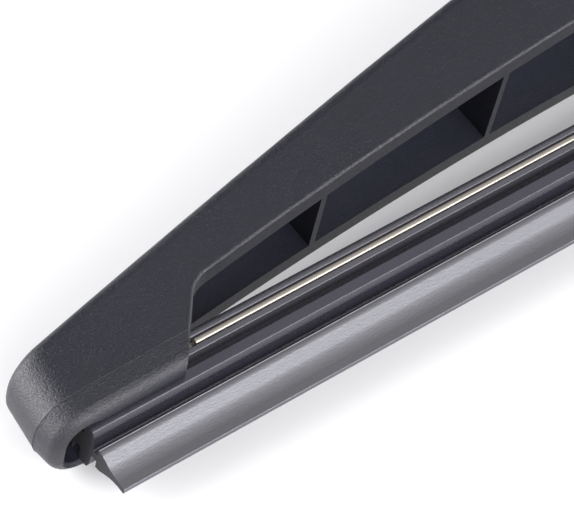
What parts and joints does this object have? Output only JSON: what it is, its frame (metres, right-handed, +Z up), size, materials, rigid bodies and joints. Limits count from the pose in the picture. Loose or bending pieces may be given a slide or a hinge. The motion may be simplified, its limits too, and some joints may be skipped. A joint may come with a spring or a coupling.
{
  "type": "rear wiper blade",
  "caption": "Rear wiper blade: one-piece arched plastic frame with ribs and end claws, rubber squeegee with steel rails, and a pivoting clip for a hook arm.",
  "frame": {"origin": "on the axis of the arm pivot, in the middle of the blade's length and width", "axes": "+X along the blade, +Z up from the table that the blade lies on, +Y across towards the blade's back"},
  "size_m": [0.33, 0.0358, 0.0213],
  "materials": {
    "frame_plastic": "fine-grained matte dark blue-grey moulding",
    "rubber": "silky black rubber with fine streaks along its length",
    "rail_steel": "bright drawn spring steel",
    "pin_steel": "ground steel",
    "clip_plastic": "smooth matte black moulding"
  },
  "bodies": {
    "blade": {"frame": "frame_plastic", "wiper_rubber": "rubber", "right_rail": "rail_steel", "left_rail": "rail_steel", "pivot_pin": "pin_steel"},
    "clip": {"arm_clip": "clip_plastic"}
  },
  "joints": [
    {"name": "clip_pivot", "type": "hinge", "parent": "blade", "child": "clip", "pos_m": [0, 0, 0], "axis": [0, -0.2728, 0.9621], "range_deg": [-20, 70]}
  ]
}
